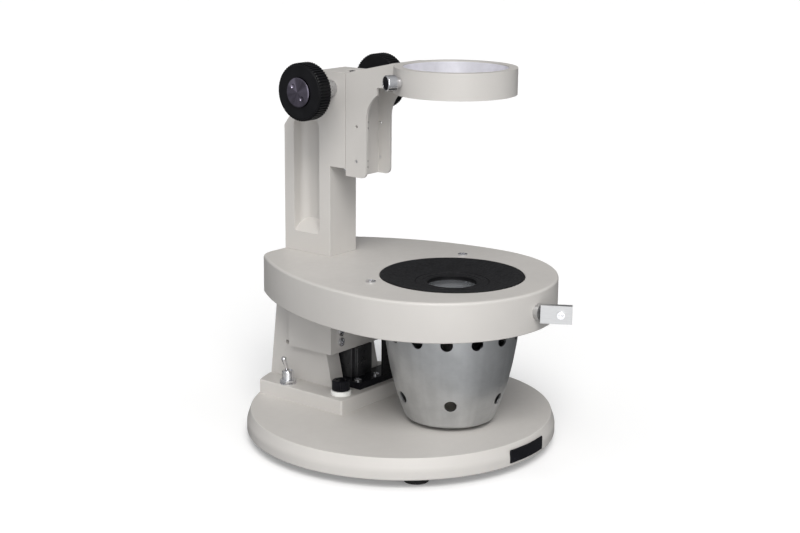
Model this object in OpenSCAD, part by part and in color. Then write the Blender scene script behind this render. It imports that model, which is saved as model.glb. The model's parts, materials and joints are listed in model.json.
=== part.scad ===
// Inclinable stand of a stereo microscope: round base, tilting lamp stage, column and
// geared focusing arm with an empty ring for the microscope head.
// Millimetres. +Z is up and -Y is the front. The origin is on the bench, at the middle
// of the stand's footprint.

/* [Base] */
// Diameter of the base disc at its widest
disc_d = 260.5; // [240:0.5:280]
// Thickness of the base disc
disc_h = 17.5; // [16:0.5:24]
// Distance of the base disc's axis behind the origin
disc_y = 15; // [10:1:20]
// Height of the rubber feet
foot_h = 8; // [6:0.5:12]
// Diameter of the circle that the feet stand on
foot_pcd = 216; // [200:1:224]
// Width of the pedestal
pedestal_w = 106; // [100:1:112]
// Height of the pedestal above the disc
pedestal_h = 12.5; // [12:0.5:16]

/* [Tilting hinge] */
// Distance between the outer faces of the two cheeks
cheek_span = 63; // [60:1:64]
// Thickness of each cheek
cheek_t = 15.5; // [13:0.5:16]
// Height of the tilting axis above the bench
tilt_z = 110; // [108:1:111]
// Diameter of the tilting shaft
tilt_d = 10; // [8:1:12]
// Width of the bracket under the stage
bracket_w = 80; // [78:1:84]

/* [Stage] */
// Height of the stage's top above the bench
stage_z = 148; // [147:1:150]
// Height of the stage's side wall
skirt_h = 32; // [30:1:33]
// Radius of the stage's round front
stage_r = 100; // [98:1:104]
// Radius of the stage's two long sides
side_r = 236; // [230:1:260]
// Diameter of the black insert
insert_d = 117.6; // [114:0.2:118]
// Diameter of the opening in the middle of the insert
light_d = 40; // [36:1:42]

/* [Column] */
// Width of the column
column_w = 33.8; // [32:0.2:36]
// Height of the column's top above the bench
head_z = 305; // [300:1:310]

/* [Arm] */
// Bore of the ring that holds the microscope head
ring_bore = 84; // [76:1:84]
// Wall thickness of the ring
ring_wall = 7; // [6:0.5:8]
// Height of the ring
ring_h = 21; // [20:0.5:22]
// Height of the ring's top above the bench
ring_z = 316.6; // [315:0.1:318]
// Distance of the ring's axis in front of the base disc's axis
reach = 51.8; // [51:0.1:53]

/* [Focus drive] */
// Height of the focus shaft above the bench
shaft_z = 291.2; // [290:0.1:292]
// Diameter of the focus shaft
shaft_d = 9; // [8:0.5:10]
// Diameter of the focus knobs
knob_d = 47.3; // [44:0.1:50]
// Distance between the outer faces of the two knobs
knob_span = 111.6; // [108:0.2:116]
// Teeth of the pinion, each of module 1
pinion_teeth = 12; // [12:1:12]

/* [Lamp bowl] */
// Number of air holes in the upper row
air_holes = 14; // [10:1:16]
// Number of air holes in the lower row
low_holes = 6; // [4:1:8]
// Diameter of the air holes
air_d = 10; // [8:1:11]

/* [Hidden] */
$fn = 96;
disc_top = foot_h + disc_h;
ped_top = disc_top + pedestal_h;
axis_y = disc_y - reach;
ped_front = disc_y + 21;
ped_back = disc_y + 121;
tilt_y = disc_y + 100;
cheek_in = cheek_span / 2 - cheek_t;
lug_bore = tilt_d - 1.9;
stage_y = disc_y - 35;
stage_back = disc_y + 118;
corner_r = 20;
skirt_z = stage_z - skirt_h;
top_t = 5;
plate_z = stage_z - top_t;
wall = 4;
column_front = disc_y + 64.6;
column_back = disc_y + 116;
pocket_depth = 13.5;
head_front = disc_y + 48;
head_low = 225.5;
arm_back = head_front - 0.5;
arm_t = 9.3;
arm_low = 219.5;
arm_front = disc_y + 25.7;
flange_t = 2.4;
pitch_r = pinion_teeth / 2;
shaft_y = disc_y + 63.9;
rail_y = shaft_y - pitch_r - 3.9;
knob_t = 14;
clamp_az = 155;
toggle_x = -45.6;
toggle_y = disc_y + 87.8;
fuse_x = -39;
fuse_y = disc_y + 33.6;
post_x = [-1, 1];
gap = 0.3;
cover_t = 1.6;
roof_t = 3;
switch_d = 10.4;
fuse_d = 12.7;
cord_d = 7;
cord_z = disc_top + 6;

// ---------- shared shapes ----------

// Screw along +Z: round head above z = 0 with a cross or single slot, shank below
module screw(head_d, head_h, shank_d, length, slots = 2) {
    difference() {
        union() {
            cylinder(d = head_d, h = head_h);
            translate([0, 0, -length]) cylinder(d = shank_d, h = length + head_h / 2);
        }
        for (i = [0 : slots - 1])
            translate([0, 0, head_h])
                rotate(i * 90)
                    cube([head_d * 0.7, head_d * 0.14, head_h], center = true);
    }
}

// Cylinder along X between two positions
module x_rod(x0, x1, d) {
    translate([min(x0, x1), 0, 0]) rotate([0, 90, 0]) cylinder(d = d, h = abs(x1 - x0));
}

// Cylinder along Y, from y = 0 backwards
module y_rod(d, length) {
    rotate([-90, 0, 0]) cylinder(d = d, h = length);
}

// Profile in the Y-Z plane, extruded to both sides of x = 0
module side_extrude(w) {
    rotate([90, 0, 90]) translate([0, 0, -w / 2]) linear_extrude(w) children();
}

module at_clamp(r) {
    translate([0, axis_y, ring_z - ring_h / 2])
        rotate(clamp_az) translate([r, 0, 0]) rotate([0, 90, 0]) children();
}

module foot_places() {
    for (a = [45 : 90 : 315])
        translate([0, disc_y, 0]) rotate(a) translate([foot_pcd / 2, 0, 0]) children();
}

module mirror_x() {
    children();
    mirror([1, 0, 0]) children();
}

// ---------- base ----------

module base_disc() {
    rim = disc_d / 2;
    color("gainsboro") difference() {
        translate([0, disc_y, foot_h])
            rotate_extrude() polygon([
                [0, 0], [rim - 1, 0], [rim, 1], [rim, 8.5], [rim - 0.4, 12],
                [rim - 1.3, 15], [rim - 3.2, disc_h], [0, disc_h]
            ]);
        translate([0, 0, foot_h - 1]) linear_extrude(disc_h + 2) difference() {
            pedestal_plan(4);
            pedestal_post_places() circle(d = 12);
        }
        translate([0, 0, foot_h - 1]) linear_extrude(1 + cover_t) pedestal_plan(-0.3);
        foot_places() translate([0, 0, foot_h - 1]) cylinder(d = 4, h = 12);
        pedestal_post_places() translate([0, 0, foot_h - 1]) cylinder(d = 4.4, h = disc_h + 2);
    }
}

module rubber_feet() {
    color("#222222") foot_places() difference() {
        cylinder(d = 20, h = foot_h);
        translate([0, 0, -1]) cylinder(d = 9, h = 4);
        cylinder(d = 4.2, h = foot_h + 1);
    }
}

module foot_screws() {
    color("silver") foot_places()
        translate([0, 0, 3]) rotate([180, 0, 0]) screw(8, 2.4, 4, 14);
}

module badge_plate() {
    r = disc_d / 2;
    color("#151515") translate([0, disc_y, foot_h + 2.6]) intersection() {
        difference() {
            cylinder(r = r + 0.9, h = 11);
            translate([0, 0, -1]) cylinder(r = r, h = 13);
        }
        translate([0, 10 - r, 0]) rotate([90, 0, 0]) linear_extrude(12) union() {
            translate([-22.5, 2]) square([45, 7]);
            translate([-20.5, 0]) square([41, 11]);
            for (s = post_x, z = [2, 9]) translate([s * 20.5, z]) circle(r = 2);
        }
    }
}

module bottom_cover() {
    color("gray") difference() {
        translate([0, 0, foot_h]) linear_extrude(cover_t) pedestal_plan(0);
        pedestal_post_places() translate([0, 0, foot_h - 1]) cylinder(d = 4.4, h = 4);
    }
}

// Pedestal plan: a rectangle cut off by a circle just inside the disc's edge
module pedestal_plan(inset) {
    intersection() {
        translate([-pedestal_w / 2 + inset, ped_front + inset])
            square([pedestal_w - 2 * inset, ped_back - ped_front - 2 * inset]);
        translate([0, disc_y]) circle(r = disc_d / 2 - 4.5 - inset);
    }
}

module pedestal() {
    color("gainsboro") difference() {
        translate([0, 0, disc_top]) linear_extrude(pedestal_h) pedestal_plan(0);
        translate([0, 0, disc_top - 1]) linear_extrude(pedestal_h + 1 - roof_t) pedestal_plan(3.4);
        translate([toggle_x, toggle_y, ped_top - roof_t - 1]) cylinder(d = switch_d, h = 20);
        translate([fuse_x, fuse_y, ped_top - roof_t - 1]) cylinder(d = fuse_d, h = 20);
        translate([0, ped_back - 9, cord_z]) y_rod(cord_d + 2.6, 12);
        cheek_screw_places() cylinder(d = 5.2, h = 20);
        for (p = power_screw_at) translate([p[0], p[1], disc_top]) cylinder(d = 2.9, h = 20);
    }
    color("gainsboro") pedestal_post_places() translate([0, 0, disc_top])
        difference() {
            cylinder(d = 10, h = pedestal_h - roof_t);
            translate([0, 0, -1]) cylinder(d = 4, h = 9);
        }
}

module pedestal_post_places() {
    for (s = post_x) {
        translate([s * 27, ped_front + 8]) children();
        translate([s * 36, ped_back - 9]) children();
    }
}

module pedestal_screws() {
    color("silver") pedestal_post_places()
        translate([0, 0, foot_h]) rotate([180, 0, 0]) screw(7.5, 2.2, 4, disc_h + 7);
}

module cord_bush() {
    color("#1c1c1c") translate([0, ped_back, cord_z]) difference() {
        union() {
            translate([0, -8, 0]) y_rod(cord_d + 2.6, 8);
            y_rod(cord_d + 4.4, 2);
        }
        translate([0, -9, 0]) y_rod(cord_d, 12);
    }
}

// ---------- tilting hinge ----------

module cheek_screw_places() {
    for (s = post_x, y = [disc_y + 60, disc_y + 108])
        translate([s * (cheek_in + cheek_t / 2), y, disc_top]) children();
}

module cheek() {
    top_r = 12.5;
    color("gainsboro") translate([(cheek_in + cheek_t / 2), 0, 0]) difference() {
        side_extrude(cheek_t) union() {
            polygon([
                [disc_y + 49.8, ped_top], [disc_y + 66, tilt_z - 2],
                [tilt_y - 3, tilt_z + top_r], [tilt_y, tilt_z + top_r],
                [tilt_y + top_r, tilt_z], [disc_y + 120.6, ped_top]
            ]);
            translate([tilt_y, tilt_z]) circle(r = top_r);
        }
        translate([0, tilt_y, tilt_z]) x_rod(-20, 20, tilt_d);
        for (y = [disc_y + 60, disc_y + 108])
            translate([0, y, ped_top - 1]) cylinder(d = 4.4, h = 16);
        translate([0, disc_y + 101, ped_top + 31]) x_rod(cheek_t / 2 - 4, 20, 4);
    }
}

module left_cheek() { mirror([1, 0, 0]) cheek(); }
module right_cheek() { cheek(); }

module cheek_screws() {
    color("silver") cheek_screw_places()
        translate([0, 0, pedestal_h - roof_t]) rotate([180, 0, 0]) screw(8, 3, 4.4, 17);
}

// Shaft pressed into the cheeks by its thicker ends
module tilt_shaft() {
    color("silver") translate([0, tilt_y, tilt_z]) {
        x_rod(-cheek_in, cheek_in, lug_bore - 0.1);
        for (s = post_x) x_rod(s * cheek_in, s * cheek_span / 2, tilt_d);
    }
}

// Black caps over the shaft's ends, on the cheeks' outer faces
module shaft_caps() {
    color("#181818") translate([0, tilt_y, tilt_z]) for (s = post_x)
        rotate([0, s * 90, 0]) translate([0, 0, cheek_span / 2]) {
            cylinder(d = 13, h = 1);
            translate([0, 0, 1]) cylinder(d1 = 13, d2 = 11.4, h = 0.6);
        }
}

module tilt_bracket() {
    low = 70;
    front = disc_y + 44;
    side_back = disc_y + 91.5;
    side_in = cheek_span / 2 + 0.5;
    lug_out = cheek_in - 0.5;
    lug_t = 6;
    lug_r = 9;
    roof = 6;
    color("gainsboro") difference() {
        union() {
            for (s = post_x) translate([s * (side_in + bracket_w / 2) / 2, 0, 0])
                side_extrude(bracket_w / 2 - side_in) polygon([
                    [front, low], [side_back, low], [side_back, plate_z], [front, plate_z]
                ]);
            for (s = post_x) translate([s * (lug_out - lug_t / 2), 0, 0])
                side_extrude(lug_t) union() {
                    polygon([
                        [tilt_y - lug_r, tilt_z], [tilt_y + lug_r, tilt_z],
                        [tilt_y + lug_r, plate_z - roof + 1], [tilt_y - 2 * lug_r, plate_z - roof + 1]
                    ]);
                    translate([tilt_y, tilt_z]) circle(r = lug_r);
                }
            translate([-bracket_w / 2, front, low]) cube([bracket_w, 4.5, plate_z - low]);
            translate([-bracket_w / 2, front, plate_z - roof]) cube([bracket_w, 22, roof]);
            translate([-lug_out, front, plate_z - roof])
                cube([2 * lug_out, tilt_y + lug_r - front, roof]);
        }
        translate([0, tilt_y, tilt_z]) x_rod(-20, 20, lug_bore);
        for (s = post_x, z = [79, 88])
            translate([s * 27, front - 1, z]) y_rod(4, 8);
        bracket_screw_places() translate([0, 0, -7]) cylinder(d = 4.2, h = 8);
        column_screw_places() translate([0, 0, -top_t - roof - 1]) cylinder(d = 11, h = roof + 2);
    }
}

module bracket_screw_places() {
    for (x = [-26, -9, 9, 26]) translate([x, disc_y + 60, plate_z]) children();
}

module bracket_screws() {
    color("silver") bracket_screw_places()
        translate([0, 0, -6]) rotate([180, 0, 0]) screw(7, 2.4, 4.2, 9);
}

// Phillips screws whose ends rest on the cheeks and set the upright position
module stop_screws() {
    color("silver") for (s = post_x, z = [79, 88])
        translate([s * 27, disc_y + 44, z])
            rotate([90, 0, 0]) screw(7.4, 2.4, 4, stop_reach(z));
}

function cheek_edge(z) = disc_y + 49.8 + (z - ped_top) * 16.2 / (tilt_z - 2 - ped_top);
function stop_reach(z) = cheek_edge(z - 2) - disc_y - 44 - 0.15;

// ---------- electrics on the pedestal ----------

plate_t = 6;
core_y = disc_y + 41;
core_h = 25.6;
power_screw_at = [[-16, disc_y + 34.5], [6.5, disc_y + 33.5], [-9, disc_y + 96], [9, disc_y + 96]];

module power_plate() {
    color("#151515") difference() {
        union() {
            translate([-20.5, disc_y + 28, ped_top]) cube([53, 20, plate_t]);
            translate([-15.5, disc_y + 47, ped_top]) cube([31, 54, plate_t]);
        }
        for (p = power_screw_at) translate([p[0], p[1], ped_top - 1]) cylinder(d = 2.9, h = 9);
    }
}

module power_screws() {
    color("silver") for (p = power_screw_at)
        translate([p[0], p[1], ped_top + plate_t]) screw(6.4, 2, 2.9, plate_t + 5);
}

module transformer_core() {
    color("#1a1a1a") translate([0, core_y, ped_top + plate_t]) difference() {
        translate([-13.3, 0, 0]) cube([26.6, 36, core_h]);
        translate([-3.4, -1, 5]) cube([5.2, 38, 15]);
    }
}

module transformer_coil() {
    color("#262626") translate([0, core_y, ped_top + plate_t]) {
        translate([-3.4, 1.5, 5]) cube([5.2, 33, 15]);
        translate([-9, 36, 3]) cube([18, 7, 16]);
    }
}

module rectifier_box() {
    color("#101010") translate([10.5, disc_y + 28, ped_top + plate_t]) difference() {
        cube([19.5, 2.6, 54]);
        for (z = [8 : 6 : 44]) translate([3, -1, z]) cube([13.5, 1.8, 3]);
    }
}

module switch_body() {
    color("#303030") translate([toggle_x, toggle_y, 0])
        translate([-3.2, -6.5, 15]) cube([8, 13, ped_top - roof_t - 15]);
    color("silver") translate([toggle_x, toggle_y, ped_top - roof_t]) difference() {
        cylinder(d = switch_d, h = 14.5);
        translate([0, 0, 9]) cylinder(d = 7.4, h = 7);
    }
}

module switch_nut() {
    color("silver") translate([toggle_x, toggle_y, ped_top]) difference() {
        union() {
            cylinder(d = 14.6, h = 1);
            cylinder(d = 14.4, h = 4, $fn = 6);
        }
        translate([0, 0, -1]) cylinder(d = switch_d, h = 6);
    }
}

toggle_z = ped_top + 9.4;

module switch_lever() {
    color("silver") translate([toggle_x, toggle_y, toggle_z]) rotate([0, -20, 0]) {
        sphere(d = 5.6);
        rotate([90, 0, 0]) cylinder(d = 3, h = 6.4, center = true);
        cylinder(d = 3, h = 15);
        translate([0, 0, 15]) sphere(d = 5);
        translate([0, 0, 8]) cylinder(d1 = 3, d2 = 4.9, h = 7, $fn = 48);
    }
}

module fuse_body() {
    color("#202020") translate([fuse_x, fuse_y, 14]) difference() {
        cylinder(d = fuse_d, h = ped_top - 14);
        translate([0, 0, 6]) cylinder(d = 9.4, h = 30);
    }
}

module fuse_ring() {
    color("white") translate([fuse_x, fuse_y, ped_top]) difference() {
        cylinder(d = 17.4, h = 3.8);
        translate([0, 0, -1]) cylinder(d = 9.4, h = 6);
    }
}

module fuse_cap() {
    flutes = 16;
    color("#181818") translate([fuse_x, fuse_y, ped_top + 4]) difference() {
        union() {
            cylinder(d = 15.2, h = 8.6);
            translate([0, 0, -12]) cylinder(d = 9.2, h = 13);
        }
        for (i = [0 : flutes - 1]) rotate(i * 360 / flutes)
            translate([7.9, 0, 1]) cylinder(d = 1.4, h = 9, $fn = 24);
        translate([-4, -0.6, 7.8]) cube([8, 1.2, 2]);
    }
}

// ---------- stage ----------

// Stage plan: round front, two long arcs, rounded rear corners; each edge moved in by inset
module stage_plan(inset) {
    centre_x = side_r - stage_r;
    back = stage_back - inset;
    r = corner_r - inset;
    cy = stage_back - corner_r;
    dy = cy - stage_y;
    cx = sqrt(pow(side_r - corner_r, 2) - dy * dy) - centre_x;
    k = (side_r - inset) / (side_r - corner_r);
    tangent = [(cx + centre_x) * k - centre_x, stage_y + dy * k];
    translate([0, stage_y]) circle(r = stage_r - inset, $fn = 180);
    for (s = post_x) translate([s * cx, cy]) circle(r = r);
    difference() {
        intersection() {
            translate([-centre_x, stage_y]) circle(r = side_r - inset, $fn = 360);
            translate([centre_x, stage_y]) circle(r = side_r - inset, $fn = 360);
            translate([-stage_r, stage_y]) square([2 * stage_r, back - stage_y]);
        }
        for (s = post_x) polygon([
            [s * cx, back], [s * tangent[0], tangent[1]], [s * 80, tangent[1]],
            [s * 80, back + 10], [s * cx, back + 10]
        ]);
    }
}

module stage_plate() {
    color("gainsboro") difference() {
        translate([0, 0, skirt_z]) linear_extrude(skirt_h) stage_plan(0);
        translate([0, 0, skirt_z - 1]) linear_extrude(skirt_h - top_t + 1) stage_plan(wall);
        translate([0, axis_y, skirt_z]) cylinder(d = 108, h = 40);
        translate([0, axis_y, stage_z - 2.4]) cylinder(d = insert_d + 0.4, h = 5);
        stage_screw_places() translate([0, 0, -8]) cylinder(d = 4, h = 10);
        bracket_screw_places() translate([0, 0, -1]) cylinder(d = 4.2, h = 4);
        column_screw_places() translate([0, 0, -8]) cylinder(d = 6.2, h = 12);
        bowl_screw_places() translate([0, 0, -1]) cylinder(d = 2.9, h = 4);
        translate([0, stage_y - stage_r - 2, skirt_z + skirt_h / 2]) y_rod(4, 10);
    }
}

module stage_screw_places() {
    for (s = post_x) translate([s * 61.5, disc_y - 17, stage_z]) children();
}

module stage_screws() {
    color("silver") stage_screw_places() screw(8.4, 2, 4, 7);
}

module stage_insert() {
    color("#1b1b1b") translate([0, axis_y, stage_z]) rotate_extrude() polygon([
        [insert_d / 2, -2.4], [insert_d / 2, 0.2], [insert_d / 2 - 1, 0.4],
        [insert_d / 2 - 2.4, 0.2], [30.6, -5.2], [30.2, -5.2], [30.2, -6.8],
        [20.6, -6.8], [20.6, -9.4], [31.4, -9.4], [53.4, -4.6], [53.4, -2.4]
    ]);
}

module glass_retainer() {
    color("#141414") translate([0, axis_y, stage_z - 6.8]) rotate_extrude() polygon([
        [light_d / 2, 0], [30, 0], [30, 1.5], [light_d / 2 + 1.6, 1.5], [light_d / 2, 0.6]
    ]);
}

module glass_disc() {
    color([0.6, 0.65, 0.7, 0.5]) translate([0, axis_y, stage_z - 11.6])
        cylinder(r = 26, h = 2.2);
}

// ---------- lamp bowl ----------

// Outer radius of the bowl at a height above the bench
bowl_pts = [
    [28.5, 32], [30, 35.4], [33, 38.2], [45, 42.6], [63, 48.2], [93, 53.6], [116, 56.6],
    [plate_z - 1.6, 58.6]
];

module lamp_bowl() {
    t = 1.4;
    n = len(bowl_pts);
    color("silver") translate([0, axis_y, 0]) difference() {
        rotate_extrude($fn = 128) polygon(concat(
            [[0, bowl_pts[0][0]]],
            [for (p = bowl_pts) [p[1], p[0]]],
            [[66, plate_z - 1.6], [66, plate_z], [58.6, plate_z]],
            [for (i = [n - 1 : -1 : 0]) [bowl_pts[i][1] - t, bowl_pts[i][0] + (i < 3 ? t : 0)]],
            [[0, bowl_pts[0][0] + t]]
        ));
        for (a = [90 : 120 : 330]) rotate(a)
            translate([62.4, 0, plate_z - 4]) cylinder(d = 3.2, h = 6);
        for (i = [0 : air_holes - 1]) rotate(161.5 + i * 360 / air_holes)
            translate([40, 0, 104]) rotate([0, 90, 0]) cylinder(d = air_d, h = 25);
        for (i = [0 : low_holes - 1]) rotate(37 + i * 360 / low_holes)
            translate([30, 0, 50.5]) rotate([0, 72, 0]) cylinder(d = air_d, h = 25);
    }
}

module bowl_screw_places() {
    for (a = [90 : 120 : 330])
        translate([0, axis_y, plate_z]) rotate(a) translate([62.4, 0, 0]) children();
}

module bowl_screws() {
    color("silver") bowl_screw_places()
        translate([0, 0, -1.6]) rotate([180, 0, 0]) screw(6, 1.8, 2.9, 4.2);
}

module reflector() {
    color("white") translate([0, axis_y, 0]) rotate_extrude() polygon([
        [57, plate_z], [57, plate_z - 1], [51, plate_z - 1.4], [45, 104], [31, 76], [16, 64],
        [16, 65], [30.4, 76.8], [44.1, 104], [50.2, plate_z - 0.6]
    ]);
}

module lamp_socket() {
    color("linen") translate([0, axis_y, bowl_pts[0][0] + 1.4]) difference() {
        union() {
            cylinder(d = 44, h = 2);
            cylinder(d = 22, h = 26);
        }
        translate([0, 0, 14]) cylinder(d = 10, h = 20);
    }
}

module lamp_bulb() {
    color([1, 1, 0.9, 0.5]) translate([0, axis_y, bowl_pts[0][0] + 15.4]) {
        cylinder(d = 10, h = 14);
        translate([0, 0, 14]) cylinder(d = 12, h = 10);
        translate([0, 0, 24]) sphere(d = 12);
    }
}

// ---------- front lug ----------

module front_boss() {
    front = stage_y - stage_r;
    color("silver") difference() {
        translate([0, front - 4, skirt_z + 16]) y_rod(13, 4.4);
        translate([0, stage_y, skirt_z]) cylinder(r = stage_r, h = 40, $fn = 180);
    }
    color("silver") translate([0, front - 2, skirt_z + 16]) y_rod(4, 7);
}

// Direction of the lug: to the right of straight ahead
lug_az = 31;

module at_lug() {
    translate([-1.5, stage_y - stage_r - 4, skirt_z + 8.4]) rotate(-90 + lug_az) children();
}

module front_lug() {
    color("silver") difference() {
        at_lug() translate([0, -4, 0]) cube([24.6, 5, 14.6]);
        translate([-20, stage_y - stage_r - 4, skirt_z]) cube([40, 20, 32]);
        at_lug() translate([16, 2, 7.3]) rotate([90, 0, 0]) cylinder(d = 4, h = 8);
    }
}

module lug_screw() {
    color("silver") at_lug() translate([16, -4, 7.3])
        rotate([90, 0, 0]) screw(6.4, 1.6, 4, 5, 1);
}

// ---------- column ----------

// Long recess in the column's side: rounded in side view, its inner corners rounded in plan,
// and its bottom sloping out
module column_pocket() {
    y0 = disc_y + 76.8;
    y1 = disc_y + 105.4;
    z0 = stage_z + 16.5;
    z1 = 262;
    r = 5;
    deep_r = 7;
    floor_x = column_w / 2 - pocket_depth;
    intersection() {
        rotate([90, 0, 90]) linear_extrude(column_w) union() {
            translate([y0 + r, z0]) square([y1 - y0 - 2 * r, z1 - z0]);
            translate([y0, z0 + r]) square([y1 - y0, z1 - z0 - 2 * r]);
            for (y = [y0 + r, y1 - r], z = [z0 + r, z1 - r]) translate([y, z]) circle(r = r);
        }
        linear_extrude(z1 + 1) union() {
            translate([floor_x, y0 + deep_r]) square([20, y1 - y0 - 2 * deep_r]);
            translate([floor_x + deep_r, y0]) square([20, y1 - y0]);
            for (y = [y0 + deep_r, y1 - deep_r]) translate([floor_x + deep_r, y]) circle(r = deep_r);
        }
        translate([0, y1, 0]) rotate([90, 0, 0]) linear_extrude(y1 - y0) polygon([
            [floor_x, z0 + 11], [column_w / 2 + 1, z0], [column_w / 2 + 1, z1], [floor_x, z1]
        ]);
    }
}

// Dovetail seen from above: narrow at the head's face, wide at its bottom
module dovetail_plan(clear) {
    polygon([
        [-8.5 - clear, head_front - 1], [8.5 + clear, head_front - 1],
        [8.5 + clear, head_front], [11 + clear, rail_y + clear],
        [-11 - clear, rail_y + clear], [-8.5 - clear, head_front]
    ]);
}

module column() {
    color("gainsboro") difference() {
        side_extrude(column_w) polygon([
            [column_front, stage_z], [column_back, stage_z], [column_back, 256],
            [head_front + 29, head_z], [head_front, head_z], [head_front, head_low],
            [column_front, head_low]
        ]);
        mirror_x() column_pocket();
        translate([0, 0, head_low - 1]) linear_extrude(90) dovetail_plan(0.12);
        translate([-4, rail_y, head_low - 1]) cube([8, 5.4, 90]);
        translate([0, shaft_y, shaft_z]) x_rod(-30, 30, 12);
        translate([0, shaft_y, shaft_z]) x_rod(-7, 7, pitch_r * 2 + 3);
        column_screw_places() translate([0, 0, -1]) cylinder(d = 6, h = 15);
    }
}

module column_screw_places() {
    for (s = post_x, y = [column_front + 8, column_back - 8])
        translate([s * 9.5, y, stage_z]) children();
}

module column_screws() {
    color("silver") column_screw_places()
        translate([0, 0, -top_t]) rotate([180, 0, 0]) screw(10, 4, 6, 16);
}

// ---------- focus drive ----------

module shaft_sleeves() {
    color("silver") translate([0, shaft_y, shaft_z]) for (s = post_x) difference() {
        union() {
            x_rod(s * column_w / 2, s * (knob_span / 2 - knob_t - 0.8), 14.6);
            x_rod(s * 7.4, s * column_w / 2, 12);
        }
        x_rod(s * 5, s * 60, shaft_d + 0.1);
    }
}

module focus_shaft() {
    color("silver") translate([0, shaft_y, shaft_z])
        x_rod(-knob_span / 2 + 4, knob_span / 2 - 4, shaft_d);
}

// Pinion tooth and rack tooth, both thinner than the pitch so that they run free
module focus_pinion() {
    color("goldenrod") translate([0, shaft_y, shaft_z]) rotate([90, 0, 90]) difference() {
        translate([0, 0, -4]) linear_extrude(8) {
            circle(r = pitch_r - 1.2);
            for (i = [0 : pinion_teeth - 1]) rotate(180 + (i + 0.5) * 360 / pinion_teeth)
                polygon([
                    [pitch_r - 1.5, -0.95], [pitch_r, -0.62], [pitch_r + 0.75, -0.3],
                    [pitch_r + 0.75, 0.3], [pitch_r, 0.62], [pitch_r - 1.5, 0.95]
                ]);
        }
        translate([0, 0, -5]) cylinder(d = shaft_d, h = 10);
    }
}

module rack() {
    pitch = PI;
    low = -22;
    high = 4;
    y0 = rail_y;
    y_pitch = shaft_y - pitch_r;
    color("silver") translate([0, 0, shaft_z]) side_extrude(6) union() {
        translate([y0, low * pitch - 1]) square([y_pitch - 1.1 - y0, (high - low) * pitch + 2]);
        for (i = [low : high]) translate([y_pitch, i * pitch])
            polygon([
                [-1.2, -0.95], [0, -0.62], [0.8, -0.32], [0.8, 0.32], [0, 0.62], [-1.2, 0.95]
            ]);
    }
}

// Knob seen along +X from its inner face: ribbed rim and a narrow step round its front
module knob() {
    ribs = 60;
    r = knob_d / 2;
    color("#1a1a1a") translate([knob_span / 2 - knob_t, shaft_y, shaft_z])
        rotate([0, 90, 0]) difference() {
            union() {
                cylinder(r = r - 0.6, h = knob_t - 0.6);
                cylinder(r = r - 1.4, h = knob_t);
                for (i = [0 : ribs - 1]) rotate(i * 360 / ribs)
                    translate([r - 1.2, -0.6, 0.6]) cube([1.2, 1.2, knob_t - 2.4]);
            }
            translate([0, 0, -1]) cylinder(d = shaft_d, h = 20);
            translate([0, 0, knob_t - 1.6]) cylinder(d = 24.2, h = 5);
        }
}

module left_knob() { mirror([1, 0, 0]) knob(); }
module right_knob() { knob(); }

module knob_caps() {
    color("silver") translate([0, shaft_y, shaft_z]) for (s = post_x)
        rotate([0, s * 90, 0]) translate([0, 0, knob_span / 2 - 1.6]) difference() {
            union() {
                cylinder(d = 24.2, h = 2);
                translate([0, 0, 1.9]) cylinder(d1 = 24.2, d2 = 22.6, h = 0.6);
            }
            for (k = post_x) rotate(45) translate([k * 6.6, 0, 1]) cylinder(d = 2.6, h = 4);
        }
}

// ---------- arm ----------

// Side view of the arm: upright bar, hollow curve under the ledge, sloping top to the ring
module arm_side() {
    arc_r = 26;
    arc_z = 268;
    ledge = 11;
    foot_r = 5;
    ring_low = ring_z - ring_h;
    ring_back = axis_y + ring_bore / 2;
    polygon([
        [arm_back, arm_low], [arm_front + foot_r, arm_low], [arm_front, arm_low + foot_r],
        [arm_front, ring_low], [ring_back, ring_low], [ring_back, ring_z],
        [ring_back + ring_wall, ring_z], [arm_back, head_z]
    ]);
    translate([arm_front + foot_r, arm_low + foot_r]) circle(r = foot_r);
    difference() {
        translate([arm_front - ledge, arc_z]) square([ledge + 1, ring_low - arc_z + 1]);
        translate([arm_front - arc_r, arc_z]) circle(r = arc_r);
    }
}

module focus_arm() {
    inner_w = column_w - 0.4 - 2 * flange_t;
    color("gainsboro") difference() {
        union() {
            side_extrude(column_w - 0.4) arm_side();
            translate([0, axis_y, ring_z - ring_h])
                cylinder(d = ring_bore + 2 * ring_wall, h = ring_h, $fn = 180);
        }
        translate([-inner_w / 2, disc_y + 1, arm_low - 1])
            cube([inner_w, arm_back - arm_t - disc_y - 1, ring_z - ring_h - arm_low + 1]);
        translate([0, axis_y, ring_z - ring_h - 1])
            cylinder(d = ring_bore, h = ring_h + 2, $fn = 180);
        at_clamp(ring_bore / 2 - 3) cylinder(d = 6, h = 14);
        for (z = arm_hole_z)
            translate([0, arm_back - 11.6, z]) x_rod(-30, 30, 2.6);
        rail_screw_places() translate([0, -1, 0]) y_rod(3, 12);
    }
}

arm_hole_z = [261.6, 232.9];

module arm_plugs() {
    color("silver") for (s = post_x)
        translate([0, arm_back - 11.6, arm_hole_z[1]])
            x_rod(s * (column_w / 2 - 0.2 - flange_t), s * (column_w / 2 - 0.4), 2.6);
}

module dovetail_rail() {
    color("silver") difference() {
        translate([0, 0, arm_low + 3]) linear_extrude(head_z - arm_low - 4) intersection() {
            dovetail_plan(0);
            translate([-20, arm_back]) square([40, 20]);
        }
        rail_screw_places() translate([0, arm_t - 1, 0]) y_rod(3, 6);
    }
}

module rail_screw_places() {
    for (z = [225.5, 230.6, 258.2, 263.2])
        translate([0, arm_back - arm_t, z]) children();
}

module rail_screws() {
    color("#404040") rail_screw_places() difference() {
        translate([0, 0.2, 0]) y_rod(3, arm_t + 3);
        translate([0, -1, 0]) rotate([-90, 0, 0]) cylinder(d = 1.6, h = 2.6, $fn = 6);
    }
}

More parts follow.
